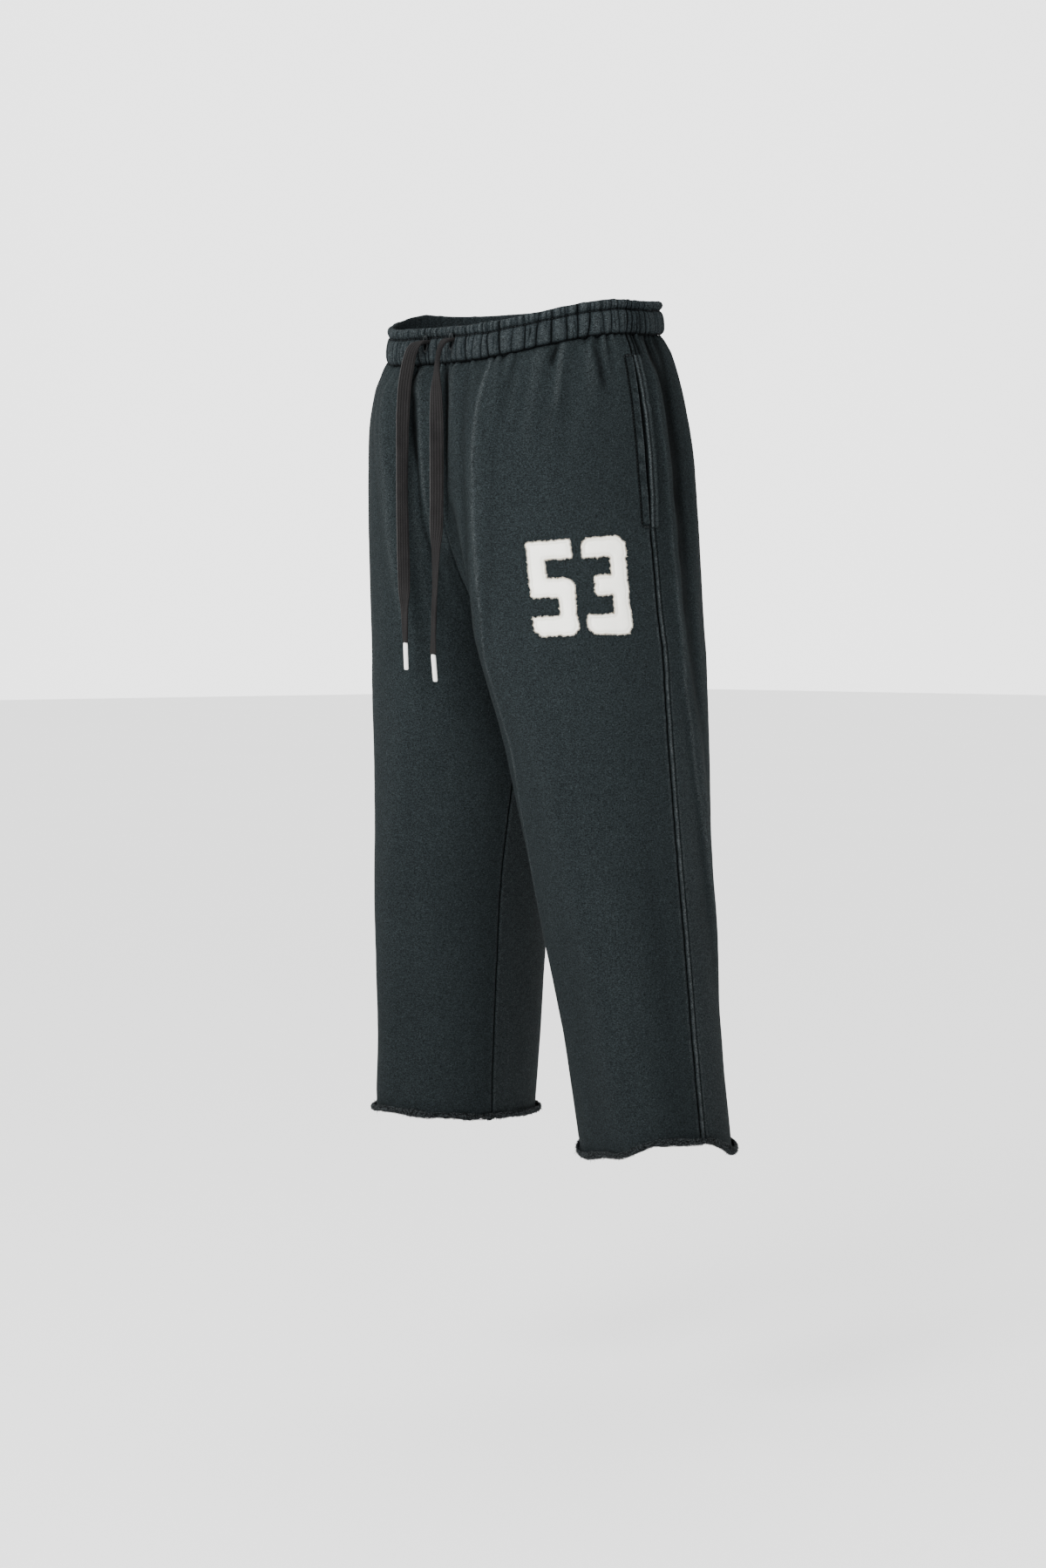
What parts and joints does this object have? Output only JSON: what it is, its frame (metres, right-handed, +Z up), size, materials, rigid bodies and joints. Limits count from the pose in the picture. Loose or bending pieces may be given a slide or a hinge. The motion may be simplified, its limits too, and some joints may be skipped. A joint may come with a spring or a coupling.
{
  "type": "sweat shorts",
  "caption": "Long, loose fleece shorts in worn shape, open at waist and hems, with a gathered elastic waistband, side pockets, a hanging flat drawcord and block numerals on one thigh.",
  "frame": {"origin": "middle of the waist opening, level with the waist seam at the side seams, where the wearer holds it", "axes": "+Z up along the wearer, -Y to the wearer's front, +X to the wearer's left"},
  "size_m": [0.4337, 0.2777, 0.8219],
  "materials": {
    "fleece": "washed black cotton fleece, matt, faded along the seams",
    "tape": "flat woven cotton tape, matt",
    "tip": "smooth moulded, satin",
    "felt": "cut felt, matt, raw edge"
  },
  "bodies": {
    "root": {"front_left": "fleece", "front_right": "fleece", "back_left": "fleece", "back_right": "fleece", "waistband": "fleece", "pocket_facing_left": "fleece", "pocket_facing_right": "fleece", "drawcord_left": "tape", "drawcord_right": "tape", "cord_tip_left": "tip", "cord_tip_right": "tip", "numeral_5": "felt", "numeral_3": "felt"}
  },
  "joints": []
}
